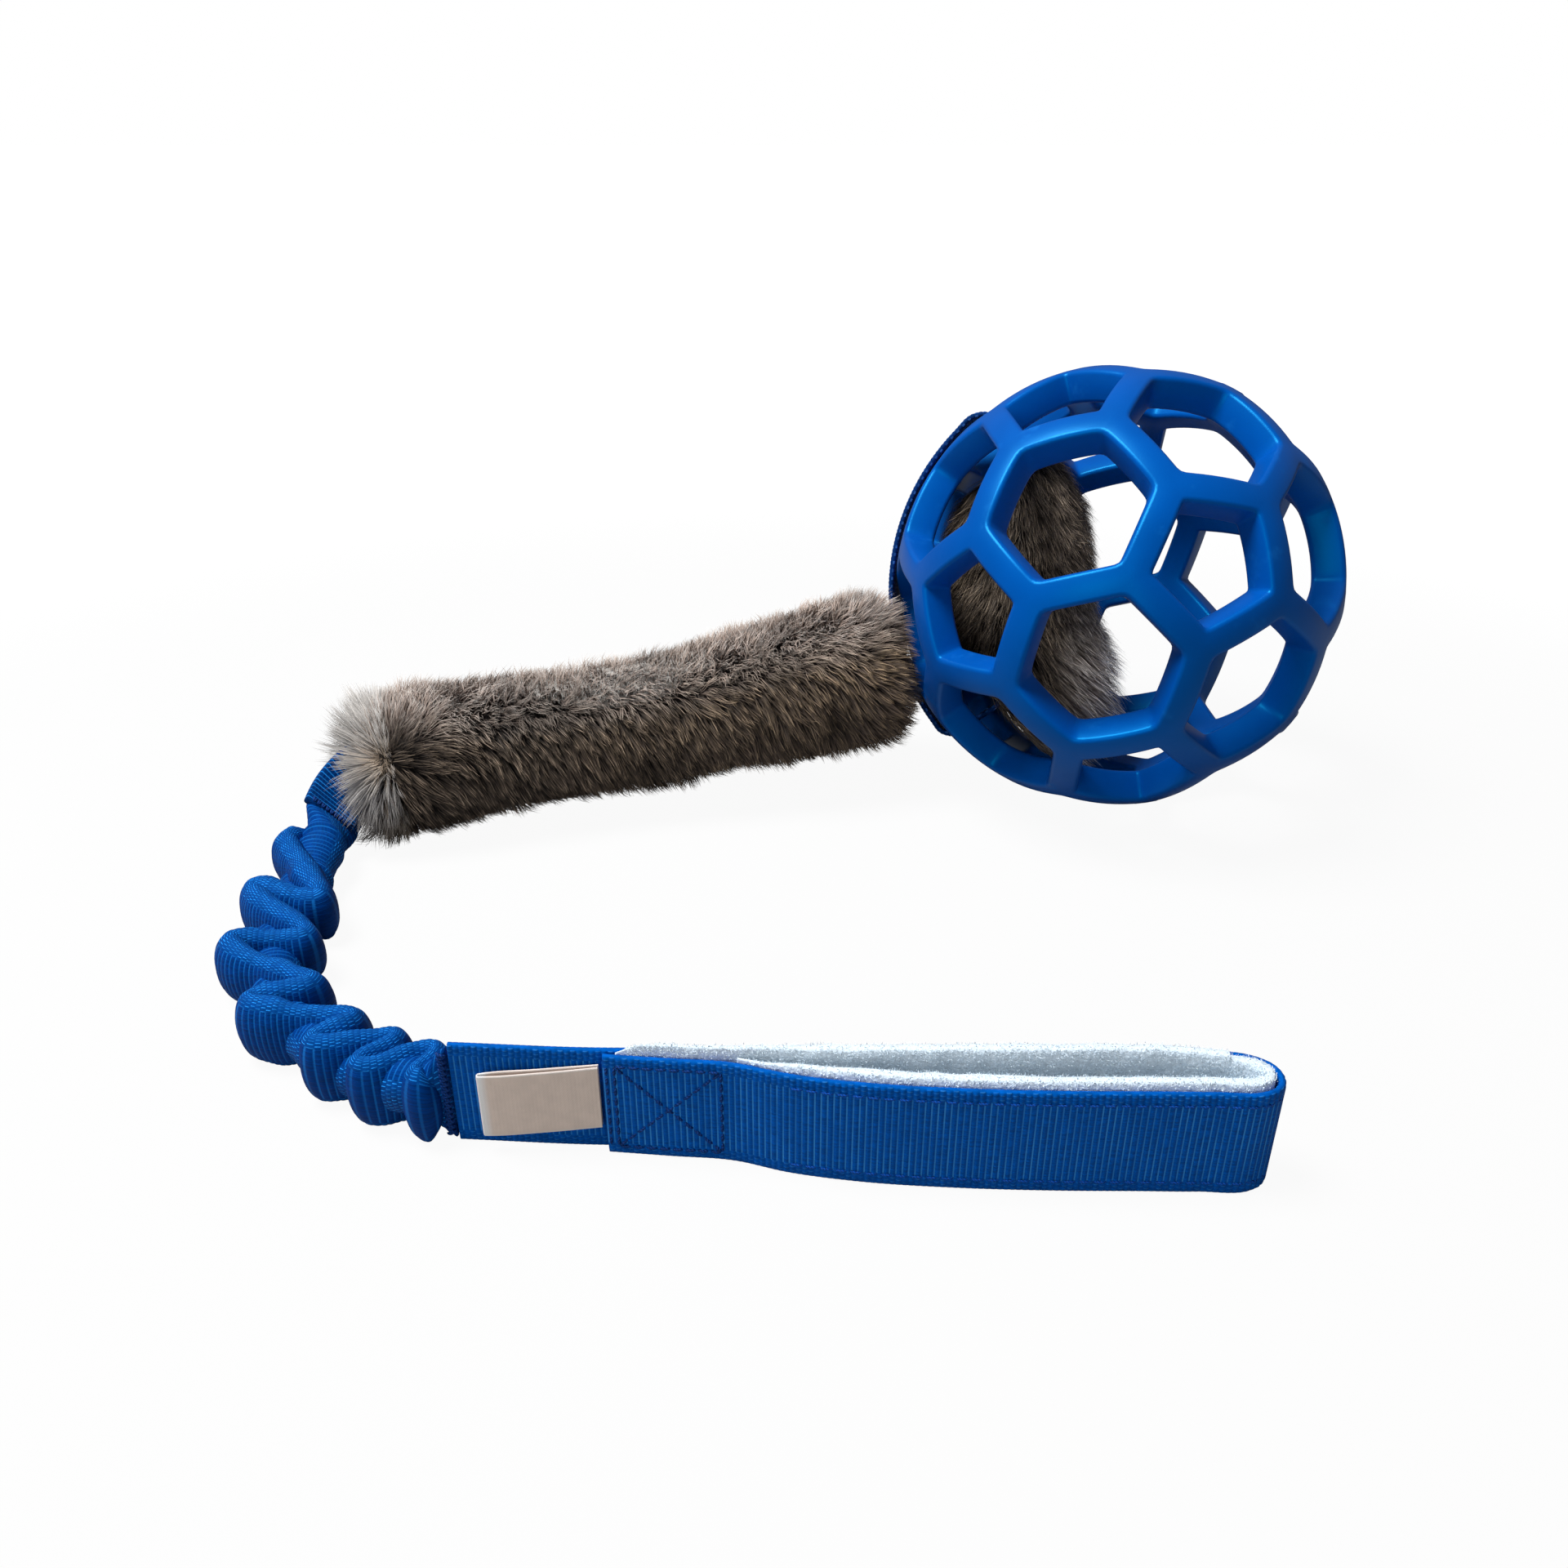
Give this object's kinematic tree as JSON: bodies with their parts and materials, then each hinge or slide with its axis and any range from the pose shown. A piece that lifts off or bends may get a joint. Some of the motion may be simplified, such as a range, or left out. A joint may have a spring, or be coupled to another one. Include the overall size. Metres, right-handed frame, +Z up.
{
  "type": "dog tug toy",
  "caption": "Dog tug toy: a lattice ball held in a webbing loop, a fur-covered tug, a ruched elastic section and a fleece-lined hand loop, lying on the floor.",
  "frame": {"origin": "on the floor, under the middle of the hand loop's sewn overlap, at the lower edge of its far layer", "axes": "+X to the right along the hand loop, +Y away from the viewer towards the tug and the ball, +Z up from the floor"},
  "size_m": [0.2984, 0.2404, 0.1269],
  "materials": {
    "ball_rubber": "satin moulded rubber, bright blue",
    "loop_webbing": "woven webbing, dark navy",
    "webbing": "woven webbing, royal blue, ribbed across",
    "ruched_webbing": "tubular webbing, royal blue",
    "fur": "fur on a backing cloth, grey-brown with pale tips",
    "padding": "felt padding",
    "elastic": "elastic cord, cloth-covered",
    "fleece": "fleece, pale blue-grey",
    "label": "woven tape, off-white, unprinted",
    "thread": "sewing thread, navy",
    "pale_thread": "sewing thread, tan"
  },
  "bodies": {
    "tug": {"fur_sleeve": "fur", "core_padding": "padding", "core_webbing": "webbing", "core_stitch": "thread", "ball_end_gather": "pale_thread", "neck_end_gather": "pale_thread", "sleeve_seam": "pale_thread"},
    "ball_loop": {"loop_webbing": "loop_webbing", "loop_fur": "fur", "loop_fur_tack_upper": "thread", "loop_fur_tack_lower": "thread"},
    "ball": {"ball_lattice": "ball_rubber"},
    "bungee": {"neck_webbing": "ruched_webbing", "neck_bartack": "thread", "bungee_core": "elastic", "bungee_sleeve": "ruched_webbing"},
    "bungee_end": {"tail_bartack": "thread"},
    "handle": {"handle_webbing": "webbing", "handle_lining": "fleece", "box_stitch": "thread", "lining_stitch_upper": "thread", "lining_stitch_lower": "thread"},
    "label": {"folded_label": "label"}
  },
  "joints": [
    {"name": "loop_swing", "type": "hinge", "parent": "tug", "child": "ball_loop", "pos_m": [0.05675, 0.17007, 0.03855], "axis": [-0.2439, -0.9145, 0.3228], "range_deg": [-10, 8]},
    {"name": "ball_roll", "type": "hinge", "parent": "ball_loop", "child": "ball", "pos_m": [0.11941, 0.16216, 0.06347], "axis": [-0.2439, -0.9145, 0.3228], "range_deg": [-3, 3]},
    {"name": "neck_fold", "type": "hinge", "parent": "tug", "child": "bungee", "pos_m": [-0.09819, 0.13629, 0.02143], "axis": [0, 0, 1], "range_deg": [-90, 8]},
    {"name": "bungee_stretch", "type": "slide", "parent": "bungee", "child": "bungee_end", "axis": [0.9978, -0.0665, 0], "range_m": [0, 0.08], "stiffness_N_per_m": 180, "deforming": ["bungee_sleeve", "bungee_core"]},
    {"name": "grip_fold", "type": "hinge", "parent": "bungee_end", "child": "handle", "pos_m": [-0.0448, 0.0018, 0.0125], "axis": [0, 0, 1], "range_deg": [-70, 10]},
    {"name": "label_flap", "type": "hinge", "parent": "handle", "child": "label", "pos_m": [-0.0138, -0.00205, 0.01195], "axis": [0, 0, 1], "range_deg": [0, 80]}
  ]
}
